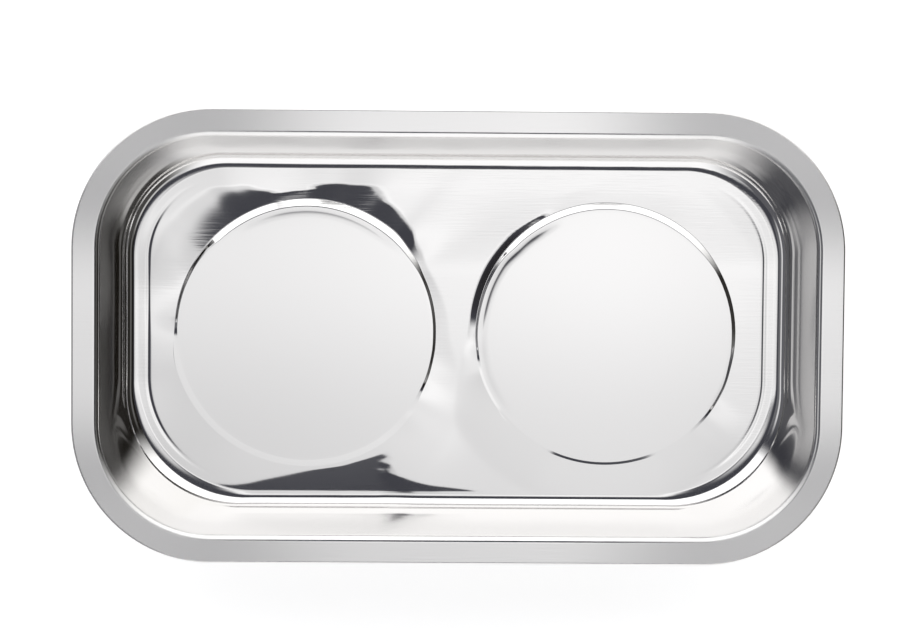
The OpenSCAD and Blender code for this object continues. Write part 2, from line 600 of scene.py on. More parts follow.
@dataclass(frozen=True)
class MouldedRubber:
    """Black moulded rubber: dull, with a fine eroded texture from its mould.

    Attributes:
        name: Name of the material.
        tone: Colour of the rubber.
        roughness: Its roughness.
        grain: Size of the texture's pits.
        grain_depth: Depth of the pits.
        grain_detail: How many finer layers the texture has.
    """

    name: str = "moulded_rubber"
    tone: str = "2b2b2c"
    roughness: float = 0.6
    grain: float = 0.35 * MM
    grain_depth: float = 0.05 * MM
    grain_detail: float = 2.0

    def material(self) -> Material:
        """Builds the material.

        Returns:
            The finished material.
        """
        material, tree, shader = new_material(self.name)
        place = add_node(tree, "ShaderNodeTexCoord")
        noise = add_node(tree, "ShaderNodeTexNoise", {
            "Vector": place.outputs["Object"], "Scale": 1 / self.grain, "Detail": self.grain_detail})
        bump = add_node(tree, "ShaderNodeBump", {
            "Height": noise.outputs[0], "Strength": 1.0, "Distance": self.grain_depth})
        shader.inputs["Base Color"].default_value = linear_colour(self.tone)
        shader.inputs["Roughness"].default_value = self.roughness
        tree.links.new(bump.outputs[0], shader.inputs["Normal"])
        return material


@dataclass(frozen=True)
class CloudedFinish:
    """A dull finish whose tone wanders between two colours.

    Attributes:
        name: Name of the material.
        dark: Its darker colour.
        light: Its lighter colour.
        roughness: Its roughness.
        cloud: Size of the patches.
        detail: How many finer layers they have.
    """

    name: str
    dark: str
    light: str
    roughness: float
    cloud: float
    detail: float

    def material(self) -> Material:
        """Builds the material.

        Returns:
            The finished material.
        """
        material, tree, shader = new_material(self.name)
        place = add_node(tree, "ShaderNodeTexCoord")
        noise = add_node(tree, "ShaderNodeTexNoise", {
            "Vector": place.outputs["Object"], "Scale": 1 / self.cloud, "Detail": self.detail})
        tone = add_node(tree, "ShaderNodeMix", {
            "Factor": noise.outputs[0], 6: linear_colour(self.dark), 7: linear_colour(self.light)},
            data_type="RGBA")
        tree.links.new(tone.outputs[2], shader.inputs["Base Color"])
        shader.inputs["Roughness"].default_value = self.roughness
        return material


# Hard ferrite, sintered and ground: dull grey with a fine dark speckle
SINTERED_FERRITE = CloudedFinish("sintered_ferrite", dark="3c3d40", light="5a5b5e", roughness=0.5,
                                 cloud=0.8 * MM, detail=4.0)
# Two-part adhesive, poured and cured: cloudy cream with a slight shine
CURED_ADHESIVE = CloudedFinish("cured_adhesive", dark="c3b490", light="ddd2b4", roughness=0.45,
                               cloud=5 * MM, detail=3.0)


@dataclass(frozen=True)
class AngleTable:
    """Values at angles round a seat, eased from one to the next.

    Attributes:
        places: Pairs of an angle in degrees, counter-clockwise from +X, and a value.
    """

    places: tuple[tuple[float, float], ...]

    def at(self, angle: float) -> float:
        """The value at an angle.

        Args:
            angle: The angle in radians.

        Returns:
            The eased value.
        """
        turn = math.degrees(angle) % 360
        first = self.places[0]
        for (low, start), (high, end) in zip(self.places, self.places[1:] + ((first[0] + 360, first[1]),)):
            if low <= turn <= high:
                return start + (end - start) * smooth_step((turn - low) / (high - low))
        return first[1]


@dataclass(frozen=True)
class SeatForm:
    """How the pressing has left a seat's step and the floor round it; lengths are in millimetres.

    Attributes:
        foot: Height of the floor at the step's foot.
        away: Its height farther from the seat.
        reach: Distance over which it goes from the one to the other.
        ease: How much steeper it is at the foot than on average.
        out: How far the seat's top reaches beyond its radius.
        width: Width of the step.
        crown: Radius of the bend at the step's upper edge.
        roll: How far the seat's edge has been pulled down.
        roll_width: Distance over which the pull grows.
        shelf: Width of the flat left between the pull and the edge.
        dome: Height of the middle of the seat above its edge.
        bend: Radius of the bend at the step's foot.
        limit: Distance from the step at which the marks end.
        least_drop: The least height that a step is drawn with.
        crown_steps: Points on the bend at the upper edge.
        bend_steps: Points on the bend at the foot.
        halvings: How often the search for a step's slope halves its range.
    """

    foot: AngleTable
    away: AngleTable
    reach: AngleTable
    ease: AngleTable
    out: AngleTable
    width: AngleTable
    crown: AngleTable
    roll: AngleTable
    roll_width: float = 2.4
    shelf: float = 1.1
    dome: float = 0.1
    bend: float = 0.7
    limit: float = 45.0
    least_drop: float = 0.01
    crown_steps: int = 8
    bend_steps: int = 7
    halvings: int = 30

    def foot_at(self, angle: float) -> float:
        """Distance of the step's foot beyond the seat's radius, in a direction in radians."""
        return self.out.at(angle) + self.width.at(angle)

    def height(self, angle: float, distance: float) -> float:
        """Height of the floor beside the seat.

        Args:
            angle: Direction from the seat's middle, in radians.
            distance: Distance beyond the seat's radius.

        Returns:
            The height above the floor's level.
        """
        distance = max(0.0, distance - self.foot_at(angle))
        left = (1 - min(1.0, distance / self.reach.at(angle))) ** self.ease.at(angle)
        away = self.away.at(angle) * (1 - smooth_step(distance / self.limit))
        return self.foot.at(angle) * left + away * (1 - left)

    def top(self, angle: float, inside: float, radius: float) -> float:
        """Depth of the seat's top below the height of its edge.

        Args:
            angle: Direction from the seat's middle, in radians.
            inside: Distance inside the edge of the seat's top.
            radius: Radius of the seat's top.

        Returns:
            The depth.
        """
        rolled = max(0.0, 1 - max(0.0, inside - self.shelf) / self.roll_width)
        return self.roll.at(angle) * rolled ** 2 - self.dome * (1 - (1 - inside / radius) ** 2)

    def step(self, angle: float, drop: float) -> list[Point]:
        """Points down the step: a bend, a straight slope and a bend back.

        Args:
            angle: Direction from the seat's middle, in radians.
            drop: Height of the step.

        Returns:
            Pairs of the distance from the edge of the seat's flat top and the depth below it.
        """
        width = self.width.at(angle)
        crown, foot, size = self.crown.at(angle), self.bend, max(abs(drop), self.least_drop)
        steepest = 2 * math.atan2(size, width)
        fit = min(1.0, width / math.sin(steepest) / (crown + foot))
        crown, foot = crown * fit, foot * fit
        low, high = math.atan2(size, width), steepest
        for _ in range(self.halvings):
            slope = (low + high) / 2
            straight = (width - (crown + foot) * math.sin(slope)) / math.cos(slope)
            fall = (crown + foot) * (1 - math.cos(slope)) + straight * math.sin(slope)
            low, high = (slope, high) if fall < size else (low, slope)
        points = []
        for i in range(1, self.crown_steps + 1):
            turn = slope * i / self.crown_steps
            points.append((crown * math.sin(turn), crown * (1 - math.cos(turn))))
        for i in range(self.bend_steps, -1, -1):
            turn = slope * i / self.bend_steps
            points.append((width - foot * math.sin(turn), size - foot * (1 - math.cos(turn))))
        return [(out, math.copysign(down, drop)) for out, down in points]


SEATS = {
    Side.LEFT: SeatForm(
        foot=AngleTable(((0, -0.1), (28, -0.1), (38, -0.15), (47, -0.35), (64, -0.25), (82, -0.15), (90, 0.0),
                         (102, 0.0), (110, -0.25), (120, -0.5), (142, -0.55), (152, -0.4), (163, -0.3),
                         (170, -0.12), (182, 0.33), (195, 0.36), (302, 0.37), (318, 0.34), (328, 0.29),
                         (340, 0.0), (348, -0.1))),
        away=AngleTable(((0, 0.0), (30, 0.0), (47, 0.48), (64, 0.9), (80, 0.6), (104, 0.5), (122, 0.75),
                         (140, 0.7), (168, 0.0), (195, 0.0), (225, 0.15), (245, 0.32), (302, 0.32),
                         (330, 0.0))),
        reach=AngleTable(((0, 4), (30, 2), (38, 2.6), (45, 4.7), (58, 6.0), (65, 8.6), (75, 6.3), (84, 4.9),
                          (90, 2.4), (102, 2.4), (108, 5), (115, 9), (126, 13), (142, 14), (156, 11),
                          (195, 11), (225, 19), (330, 14))),
        ease=AngleTable(((0, 1.2), (30, 1.0), (92, 1.0), (104, 1.2), (112, 1.35), (145, 1.35), (165, 1.0))),
        out=AngleTable(((0, 0.7), (25, 0.7), (40, 0.3), (60, 0.1), (90, 0.25), (120, 0.4), (132, 0.6),
                        (143, 1.5), (152, 1.7), (165, 1.9), (180, 2.0), (300, 2.0), (320, 1.6), (336, 1.2),
                        (350, 0.9))),
        width=AngleTable(((0, 1.1), (25, 1.15), (36, 1.9), (50, 2.7), (90, 2.65), (118, 2.5), (132, 2.3),
                          (143, 1.35), (152, 1.2), (165, 1.0), (178, 0.9), (195, 2.0), (315, 2.0),
                          (333, 1.0))),
        crown=AngleTable(((0, 0.6), (27, 0.6), (45, 1.2), (120, 1.2), (140, 0.6), (175, 0.6), (195, 2.0),
                          (315, 2.0), (333, 0.6))),
        roll=AngleTable(((0, 0.0), (35, 0.0), (60, 0.1), (100, 0.1), (130, 0.0)))),
    Side.RIGHT: SeatForm(
        foot=AngleTable(((0, 0.0), (45, -0.1), (75, 0.1), (105, 0.1), (114, 0.05), (124, -0.35), (137, -0.5),
                         (150, -0.5), (168, -0.4), (178, -0.2), (186, 0.0), (191, 0.2), (198, 0.34),
                         (243, 0.34), (252, 0.27), (265, 0.285), (286, 0.295), (295, 0.34), (311, 0.34),
                         (319, 0.28), (331, 0.0))),
        away=AngleTable(((0, 0.0), (75, 0.05), (110, 0.05), (172, 0.05), (200, 0.05), (225, 0.2), (310, 0.2),
                         (330, 0.0))),
        reach=AngleTable(((0, 12), (60, 12), (110, 4), (121, 1.1), (136, 2.0), (150, 2.3), (178, 2.2),
                          (190, 5), (215, 14), (300, 14), (335, 12))),
        ease=AngleTable(((0, 1.0),)),
        out=AngleTable(((0, 1.0), (28, 0.8), (45, 0.3), (60, 0.1), (90, 0.0), (120, 0.0), (135, 0.2),
                        (148, 1.0), (165, 1.1), (185, 1.5), (203, 2.0), (245, 2.2), (292, 2.2), (320, 2.1),
                        (334, 1.9), (348, 1.3))),
        width=AngleTable(((0, 1.3), (28, 1.4), (45, 2.1), (60, 2.3), (120, 2.3), (135, 2.0), (148, 1.1),
                          (165, 0.95), (185, 0.8), (336, 0.9), (350, 1.1))),
        crown=AngleTable(((0, 0.6), (60, 0.9), (142, 0.9), (180, 0.8), (195, 0.6))),
        roll=AngleTable(((0, 0.0), (110, 0.0), (128, 0.18), (145, 0.22), (168, 0.2), (187, 0.06), (205, 0.03),
                         (225, 0.0)))),
}


def between(table: Sequence[Point], x: float) -> float:
    """Reads a table, straight from one place to the next.

    Args:
        table: Pairs of a place and a value, in order.
        x: The place.

    Returns:
        The value there, or the nearer end's value outside the table.
    """
    if x <= table[0][0]:
        return table[0][1]
    for (low, start), (high, end) in zip(table, table[1:]):
        if x <= high:
            return start + (end - start) * (x - low) / (high - low)
    return table[-1][1]


@dataclass(frozen=True)
class Ramp:
    """An eased rise from 0 to 1.

    Attributes:
        start: Where the rise starts.
        length: The distance over which it rises.
    """

    start: float
    length: float

    def at(self, place: float) -> float:
        """The value at a place."""
        return smooth_step((place - self.start) / self.length)


@dataclass(frozen=True)
class FloorMarks:
    """What the pressing has left in the floor away from the seats; lengths are in millimetres.

    Attributes:
        swell: Height of the floor's swell.
        swell_x: Where along the tray it starts to die away toward the far side.
        swell_y: Where across the tray it does so.
        wedge: Width of the slope beside the near border, at places along the tray.
        wedge_slope: Slope of that strip.
        wedge_end: Distance inside the border at which it levels out.
        spur_tip: Place along the tray at which a spur widens the strip most.
        spur: What the spur adds to its width, at places from its tip.
        spur_stretch: How much longer the spur's right flank is at the border.
        spur_reach: Distance inside the border over which the flank shortens.
        band_slope: Slope of the band inside the floor's edge, by the direction that the edge faces:
            0 degrees is an end of the tray, 90 its far side and 270 its near side.
        band_width: Width of that band.
        band_round: How softly it starts.
        crease: Depth of the crease inside the tray's ends.
        crease_inset: Distance of the crease inside the edge.
        crease_width: Half the width of the crease.
        crease_x: Where it starts along the tray, from its middle.
        crease_y: Where it ends across the tray, from its middle.
    """

    swell: float = 0.65
    swell_x: Ramp = Ramp(-75, 30)
    swell_y: Ramp = Ramp(18, 28)
    wedge: tuple[Point, ...] = ((-80.0, 0.0), (-70.0, 1.9), (-60.5, 4.2), (-46.9, 7.1), (-35.8, 8.7),
                                (-18.8, 4.9), (-8.7, 2.7), (3.6, 1.3), (12.0, 0.0))
    wedge_slope: float = 0.062
    wedge_end: float = 0.7
    spur_tip: float = -22.6
    spur: tuple[Point, ...] = ((-13.2, 0.0), (-4.1, 4.8), (0.0, 7.2), (1.8, 1.0), (3.8, 0.0))
    spur_stretch: float = 4.0
    spur_reach: float = 6.0
    band_slope: AngleTable = AngleTable((
        (0, 0.05), (20, 0.1), (45, 0.13), (90, 0.12), (180, 0.0), (270, 0.0), (280, 0.1), (292, 0.16),
        (325, 0.16), (345, 0.15)))
    band_width: AngleTable = AngleTable((
        (0, 0.3), (45, 0.3), (90, 0.15), (180, 0.5), (270, 0.2), (292, 0.3), (345, 0.4)))
    band_round: float = 0.1
    crease: float = 0.11
    crease_inset: float = 3.3
    crease_width: float = 0.45
    crease_x: Ramp = Ramp(70, 20)
    crease_y: Ramp = Ramp(25, 24)

    def height(self, x: float, y: float, inset: float, facing: float) -> float:
        """Height of the floor above its level, without what the seats add.

        Args:
            x: Place along the tray.
            y: Place across the tray.
            inset: Distance of the place inside the floor's edge.
            facing: Direction that the edge faces there, in radians from the tray's end.

        Returns:
            The height.
        """
        height = self.swell * (1 - self.swell_y.at(y) * self.swell_x.at(x))
        if y < 0:
            beyond = x - self.spur_tip
            if beyond > 0:
                beyond /= 1 + self.spur_stretch * max(0.0, 1 - inset / self.spur_reach)
            width = between(self.wedge, x) + between(self.spur, beyond)
            height -= self.wedge_slope * max(0.0, width - max(inset, min(width, self.wedge_end)))
        ramp = self.band_width.at(facing) - inset
        height += self.band_slope.at(facing) * (ramp + math.hypot(ramp, self.band_round)) / 2
        ends = self.crease_x.at(abs(x)) * (1 - self.crease_y.at(abs(y)))
        return height - self.crease * ends * math.exp(-((inset - self.crease_inset) / self.crease_width) ** 2)


@dataclass(frozen=True)
class EdgePoint:
    """A point of the floor's edge.

    Attributes:
        floor: Its place on the floor.
        path: Its place on the line that runs at one distance inside the rim.
        outward: The direction out of the floor.
    """

    floor: Point
    path: Point
    outward: Point

    def inside(self, inset: float) -> Point:
        """The place at a distance inside the floor's edge."""
        return (self.floor[0] - self.outward[0] * inset, self.floor[1] - self.outward[1] * inset)


@dataclass
class TrayShell:
    """The pressed tray: floor with two raised seats, wall, flat rim and hem, from one sheet.

    Attributes:
        sheet: Thickness of the sheet.
        corner_radius: Radius of the rim's corners.
        far_corner: Radius of the floor's corners on the far side.
        near_corner: Radius of the floor's corners on the near side.
        rim_width: Width of the flat rim.
        rim_bend: Radius of the bend from the rim into the wall.
        floor_fillet: Radius of the fillet from the wall into the floor.
        lean_low: Lean of the wall's lower half from upright.
        lean_high: Lean of its upper half.
        wall_curve_share: Share of each half that curves from the one lean to the other.
        hem_radius: Radius of the rim's outer edge.
        hem_height: Height of the folded edge.
        hem_leg: Length of the leg folded back under the rim.
        lead: Width of the flat that the swept section starts with.
        seat_radius: Radius of the seats.
        seat_rise: Height of the seats above the floor.
        tilt_length: Length of section over which the floor's border slope runs on.
        marks: What the pressing has left in the floor.
        border: Width of the strip of floor whose lines follow the edge.
        border_steps: Lines in that strip.
        border_crowding: Power that crowds them toward the edge.
        spread_steps: Lines from a seat's foot to that strip.
        spread_crowding: Power that crowds them toward the seat.
        seat_rings: Rings that a seat's top would have at even distances.
        roll_steps: Rings over the pull at a seat's edge.
        corner_steps: Points round a corner.
        long_steps: Points along half of a long side.
        short_steps: Points along an end.
        middle_steps: Points across the middle of the tray.
        arc_steps: Points on each bend of the wall and the rim.
    """

    sheet: float = 0.6 * MM
    corner_radius: float = 43.5 * MM
    far_corner: float = 29 * MM
    near_corner: float = 37 * MM
    rim_width: float = 6.8 * MM
    rim_bend: float = 2.3 * MM
    floor_fillet: float = 4 * MM
    lean_low: float = math.radians(14.2)
    lean_high: float = math.radians(19.2)
    wall_curve_share: float = 0.8
    hem_radius: float = 0.6 * MM
    hem_height: float = 1.7 * MM
    hem_leg: float = 3.4 * MM
    lead: float = 0.25 * MM
    seat_radius: float = 39 * MM
    seat_rise: float = 1 * MM
    tilt_length: float = 1.35 * MM
    marks: FloorMarks = FloorMarks()
    border: float = 6 * MM
    border_steps: int = 20
    border_crowding: float = 1.5
    spread_steps: int = 22
    spread_crowding: float = 1.6
    seat_rings: int = 12
    roll_steps: int = 5
    corner_steps: int = 28
    long_steps: int = 36
    short_steps: int = 12
    middle_steps: int = 40
    arc_steps: int = 13

    def __post_init__(self) -> None:
        """Reads the tray's place from the frame."""
        low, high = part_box("tray_shell")
        left_low, left_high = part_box("left_boot")
        self.half_length = high.x
        self.half_width = high.y
        self.rim_z = high.z
        self.floor_z = low.z + self.sheet
        self.seat_x = -(left_low.x + left_high.x) / 2

    @property
    def depth(self) -> float:
        """Depth from the rim to the floor."""
        return self.rim_z - self.floor_z

    def _bends(self) -> list[tuple[float, float, float]]:
        """Radius and the slopes before and after each bend between the floor and the rim."""
        low, high = math.pi / 2 - self.lean_low, math.pi / 2 - self.lean_high
        return [(self.floor_fillet, 0.0, low), (self.rim_bend, 0.0, high)]

    @property
    def wall_half(self) -> float:
        """Length of the lower and of the upper half of the wall, between its bends."""
        rise = sum(radius * (math.cos(start) - math.cos(end)) for radius, start, end in self._bends())
        return (self.depth - rise) / (math.cos(self.lean_low) + math.cos(self.lean_high))

    @property
    def wall_run(self) -> float:
        """Distance in plan from the rim's bend to the flat floor."""
        bends = sum(radius * (math.sin(end) - math.sin(start)) for radius, start, end in self._bends())
        return bends + self.wall_half * (math.sin(self.lean_low) + math.sin(self.lean_high))

    @property
    def slide_length(self) -> float:
        """Length of the section over which the wall takes up the floor's larger corners."""
        radius, start, end = self._bends()[0]
        return self.lead + radius * (end - start) + self.wall_half

    @property
    def inset(self) -> float:
        """Distance in plan from the rim's edge to the start of the swept section."""
        return self.rim_width + self.wall_run + self.lead

    @property
    def floor_half(self) -> Point:
        """Half the length and width of the floor."""
        return (self.half_length - self.inset, self.half_width - self.inset)

    def section(self) -> Section:
        """The sheet's upper face from the floor's edge to the end of the hem.

        Returns:
            The section, measured from the floor's edge.
        """
        fillet, bend = (radius * math.tan((end - start) / 2) for radius, start, end in self._bends())
        low, high = math.pi / 2 - self.lean_low, math.pi / 2 - self.lean_high
        corners = [Corner(0, 0)]
        for slope, length, radius in (
                (0.0, self.lead + fillet, self.floor_fillet),
                (low, fillet + self.wall_half,
                 self.wall_curve_share * self.wall_half / math.tan((low - high) / 2)),
                (high, self.wall_half + bend, self.rim_bend)):
            last = corners[-1]
            corners.append(Corner(last.out + length * math.cos(slope), last.up + length * math.sin(slope),
                                  radius))
        fold = self.depth - self.hem_height
        corners.append(Corner(self.inset, self.depth, self.hem_radius))
        corners.append(Corner(self.inset, fold, self.hem_radius))
        corners.append(Corner(self.inset - self.hem_radius - self.hem_leg, fold))
        return Section(corners)

    def _corner(self, y: float) -> float:
        """Radius of the floor's corners on the near or the far side."""
        return (self.far_corner if y > 0 else self.near_corner) - self.lead

    def _edge_point(self, share_x: float, share_y: float, angle: float) -> EdgePoint:
        """A point of the right half of the floor's edge.

        Args:
            share_x: Share of the way along the near or far side, from the tray's middle to the corner.
            share_y: Place along the end, from -1 at the near corner to 1 at the far corner.
            angle: Direction that the edge faces, in radians from the tray's end.

        Returns:
            The point.
        """
        half_x, half_y = self.floor_half
        path_r = self.corner_radius - self.inset
        out = (round(math.cos(angle), DIRECTION_DIGITS), round(math.sin(angle), DIRECTION_DIGITS))
        places = []
        for near, far in ((self._corner(-1), self._corner(1)), (path_r, path_r)):
            radius = far if out[1] > 0 or (out[1] == 0 and share_y > 0) else near
            middle = ((half_y - far) * (1 + share_y) - (half_y - near) * (1 - share_y)) / 2
            places.append((share_x * (half_x - radius) + radius * out[0], middle + radius * out[1]))
        return EdgePoint(places[0], places[1], out)

    def floor_edge(self) -> list[EdgePoint]:
        """Points along the right half of the floor's edge, from the near middle to the far middle.

        Returns:
            The points, counter-clockwise.
        """
        quarter = math.pi / 2
        places = [(i / self.long_steps, -1, -quarter) for i in range(self.long_steps)]
        places += [(1, -1, -quarter + quarter * i / self.corner_steps) for i in range(self.corner_steps)]
        places += [(1, 2 * i / self.short_steps - 1, 0) for i in range(self.short_steps)]
        places += [(1, 1, quarter * i / self.corner_steps) for i in range(self.corner_steps)]
        places += [(1 - i / self.long_steps, 1, quarter) for i in range(self.long_steps + 1)]
        return [self._edge_point(*place) for place in places]

    def edge_at(self, x: float, y: float) -> tuple[float, float]:
        """Distance of a place inside the floor's edge, and the direction that the edge faces there.

        Args:
            x: The place's X.
            y: The place's Y.

        Returns:
            The distance in millimetres, and the angle from the tray's end in radians.
        """
        half_x, half_y = self.floor_half
        radius = self._corner(y)
        across, along = abs(x) - half_x + radius, abs(y) - half_y + radius
        if across > 0 and along > 0:
            return (radius - math.hypot(across, along)) / MM, math.atan2(math.copysign(along, y), across)
        if half_x - abs(x) < half_y - abs(y):
            return (half_x - abs(x)) / MM, 0.0
        return (half_y - abs(y)) / MM, math.copysign(math.pi / 2, y)

    def relief(self, x: float, y: float) -> float:
        """Height of the floor above its level, from the marks that the pressing left in it.

        Args:
            x: The place's X.
            y: The place's Y.

        Returns:
            The height.
        """
        height = self.marks.height(x / MM, y / MM, *self.edge_at(x, y))
        for side, form in SEATS.items():
            away_x = x - side.value * self.seat_x
            height += form.height(math.atan2(y, away_x), (math.hypot(away_x, y) - self.seat_radius) / MM)
        return height * MM

    def floor_mesh(self) -> Mesh:
        """Builds the floor with its two seats: rings round each seat, then lines inside the edge.

        Returns:
            The open mesh of the floor's upper face, with the slide and the slope of its edge.
        """
        edge = self.floor_edge()
        shape = bmesh.new()
        slide = shape.verts.layers.float_vector.new(SLIDE)
        tilt = shape.verts.layers.float.new(TILT)
        for side in Side:
            inner = self._seat_and_floor(shape, side, edge)
            for i in range(1, self.border_steps + 1):
                inset = self.border * (1 - i / self.border_steps) ** self.border_crowding
                outer = [self._floor_vert(shape, side, point.inside(inset)) for point in edge]
                self._strip(shape, side, inner, outer)
                inner = outer
            for vert, point in zip(inner, edge):
                moved = (point.floor[0] - point.path[0], point.floor[1] - point.path[1])
                vert[slide] = (side.value * moved[0], moved[1], vert.co.z - self.floor_z)
                stretch = 1 + math.hypot(*moved) / self.slide_length
                facing = math.atan2(point.outward[1], point.outward[0])
                vert[tilt] = stretch * self.marks.band_slope.at(facing)
        bmesh.ops.remove_doubles(shape, verts=shape.verts, dist=MERGE_DISTANCE)
        mesh = bpy.data.meshes.new("tray_pressing")
        shape.to_mesh(mesh)
        shape.free()
        return mesh

    def _seat_and_floor(self, shape: BMesh, side: Side, edge: Sequence[EdgePoint]) -> list[BMVert]:
        """Adds a seat and the floor round it, out to the border and the middle of the tray.

        Args:
            shape: The floor's mesh.
            side: The seat's side.
            edge: The floor's edge on the right half.

        Returns:
            The vertices along the border.
        """
        columns = [point.inside(self.border) for point in edge]
        top = columns[-1][1]
        columns += [(0.0, top * (1 - 2 * i / self.middle_steps)) for i in range(1, self.middle_steps)]
        middle_z = self.floor_z + self.seat_rise + SEATS[side].dome * MM
        centre = shape.verts.new((side.value * self.seat_x, 0, middle_z))
        lines = [self._seat_line(shape, side, point) for point in columns]
        rings = [list(ring) for ring in zip(*lines)]
        for i in range(1, self.spread_steps + 1):
            share = (i / self.spread_steps) ** self.spread_crowding
            rings.append([self._floor_vert(shape, side, self._between(side, point, share))
                          for point in columns])
        closed = [ring + ring[:1] for ring in rings]
        for start, end in zip(closed[0], closed[0][1:]):
            self._face(shape, side, (centre, start, end))
        for inner, outer in zip(closed, closed[1:]):
            self._strip(shape, side, inner, outer)
        return rings[-1][:len(edge)]

    def _toward(self, point: Point, radius: float) -> Point:
        """The place at a radius from the seat's middle on the way to a point."""
        away = Vector((point[0] - self.seat_x, point[1])).normalized() * radius
        return (self.seat_x + away.x, away.y)

    def _angle(self, side: Side, point: Point) -> float:
        """Direction from a seat's middle to a point that is given on the right half."""
        return math.atan2(point[1], side.value * (point[0] - self.seat_x))

    def _between(self, side: Side, point: Point, share: float) -> Point:
        """The place at a share of the way from a seat's foot to a point.

        Args:
            side: The seat's side.
            point: The point, on the right half.
            share: The share of the way.

        Returns:
            The place, on the right half.
        """
        foot = SEATS[side].foot_at(self._angle(side, point)) * MM
        start = self._toward(point, self.seat_radius + foot)
        return (start[0] + (point[0] - start[0]) * share, start[1] + (point[1] - start[1]) * share)

    def _floor_vert(self, shape: BMesh, side: Side, place: Point) -> BMVert:
        """Adds a vertex of the floor, given on the right half."""
        x, y = side.value * place[0], place[1]
        return shape.verts.new((x, y, self.floor_z + self.relief(x, y)))

    def _seat_line(self, shape: BMesh, side: Side, point: Point) -> list[BMVert]:
        """Adds the vertices from beside a seat's middle to its foot on the way to a point.

        Args:
            shape: The floor's mesh.
            side: The seat's side.
            point: The point, on the right half.

        Returns:
            The vertices, from the middle outward.
        """
        form = SEATS[side]
        angle = self._angle(side, point)
        radius = self.seat_radius + form.out.at(angle) * MM
        foot_x, foot_y = self._toward(point, radius + form.width.at(angle) * MM)
        edge = form.top(angle, 0.0, radius / MM) * MM
        drop = self.seat_rise - edge - self.relief(side.value * foot_x, foot_y)
        # The last even ring is left out, because the pull at the edge has rings of its own
        insets = [radius * (1 - i / self.seat_rings) for i in range(1, self.seat_rings - 1)]
        insets += [(form.shelf + form.roll_width * i / self.roll_steps) * MM
                   for i in range(self.roll_steps, -1, -1)]
        insets.append(0.0)
        places = [(radius - inset, form.top(angle, inset / MM, radius / MM) * MM) for inset in insets]
        places += [(radius + out * MM, edge + down * MM) for out, down in form.step(angle, drop / MM)]
        top = self.floor_z + self.seat_rise
        verts = []
        for distance, down in places:
            x, y = self._toward(point, distance)
            verts.append(shape.verts.new((side.value * x, y, top - down)))
        return verts

    @staticmethod
    def _face(shape: BMesh, side: Side, verts: Sequence[BMVert]) -> None:
        """Adds a face, turned round on the mirrored half so that it still faces up."""
        shape.faces.new(verts if side is Side.RIGHT else tuple(reversed(verts)))

    def _strip(self, shape: BMesh, side: Side, inner: Sequence[BMVert],
               outer: Sequence[BMVert]) -> None:
        """Fills the strip between two lines of vertices with faces."""
        for i in range(len(inner) - 1):
            self._face(shape, side, (inner[i], outer[i], outer[i + 1], inner[i + 1]))

    def build(self, finish: Material) -> Object:
        """Builds the whole pressing.

        Args:
            finish: The sheet's material.

        Returns:
            The finished piece.
        """
        piece = link_object("tray_pressing", self.floor_mesh())
        SectionSweep("Tray wall and rim", self.section(), arc_steps=self.arc_steps,
                     slide_length=self.slide_length, lift_length=self.slide_length + self.wall_half,
                     tilt_length=self.tilt_length).apply(piece, finish)
        shape = bmesh.new()
        shape.from_mesh(piece.data)
        flat = min(shape.faces, key=lambda face: face.calc_center_median().length)
        if flat.normal.z < 0:
            bmesh.ops.reverse_faces(shape, faces=shape.faces)
        shape.to_mesh(piece.data)
        shape.free()
        wall = piece.modifiers.new("Sheet", "SOLIDIFY")
        wall.thickness = self.sheet
        wall.offset = -1
        wall.use_even_offset = True
        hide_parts("tray_shell")
        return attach(piece, BODY)


